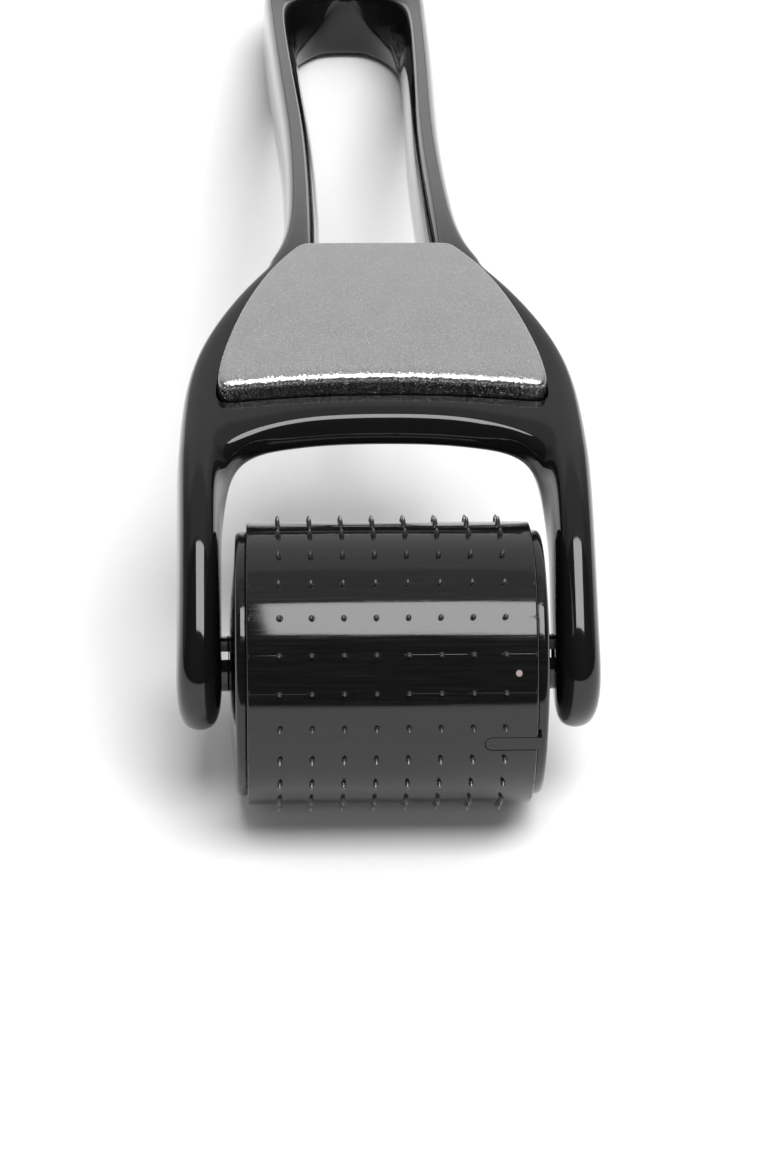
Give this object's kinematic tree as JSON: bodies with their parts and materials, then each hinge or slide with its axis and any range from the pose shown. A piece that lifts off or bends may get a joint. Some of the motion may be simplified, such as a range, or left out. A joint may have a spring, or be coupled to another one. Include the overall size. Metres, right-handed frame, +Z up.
{
  "type": "derma roller",
  "caption": "Facial needle roller: a drum of short steel needles turns on split stub axles between the fork arms of a slim open-loop handle with a metallic face plate.",
  "frame": {"origin": "middle of the bounding box's bottom face, on the table the part lies on", "axes": "X along the drum's axis, +Y from the drum to the tail of the handle, +Z up from the table"},
  "size_m": [0.03, 0.142, 0.0269],
  "materials": {
    "black_gloss": "high-gloss black ABS",
    "silver_plate": "moulded plastic with satin silver metallic coating",
    "pad_foam": "thin adhesive foam",
    "core_plastic": "plain moulded plastic",
    "needle_steel": "ground stainless wire"
  },
  "bodies": {
    "handle": {"handle_frame": "black_gloss", "face_plate": "silver_plate", "plate_pad": "pad_foam"},
    "roller": {"needle_sleeve": "black_gloss", "roller_core": "core_plastic", "left_end_cap": "black_gloss", "right_end_cap": "black_gloss", "needle_row_01": "needle_steel", "needle_row_02": "needle_steel", "needle_row_03": "needle_steel", "needle_row_04": "needle_steel", "needle_row_05": "needle_steel", "needle_row_06": "needle_steel", "needle_row_07": "needle_steel", "needle_row_08": "needle_steel", "needle_row_09": "needle_steel", "needle_row_10": "needle_steel", "needle_row_11": "needle_steel", "needle_row_12": "needle_steel", "needle_row_13": "needle_steel", "needle_row_14": "needle_steel", "needle_row_15": "needle_steel", "needle_row_16": "needle_steel", "needle_row_17": "needle_steel", "needle_row_18": "needle_steel", "needle_row_19": "needle_steel", "needle_row_20": "needle_steel", "needle_row_21": "needle_steel", "needle_row_22": "needle_steel", "needle_row_23": "needle_steel", "needle_row_24": "needle_steel"}
  },
  "joints": [
    {"name": "roller_spin", "type": "hinge", "parent": "handle", "child": "roller", "pos_m": [0, -0.06055, 0.01045], "axis": [1, 0, 0], "continuous": true}
  ]
}
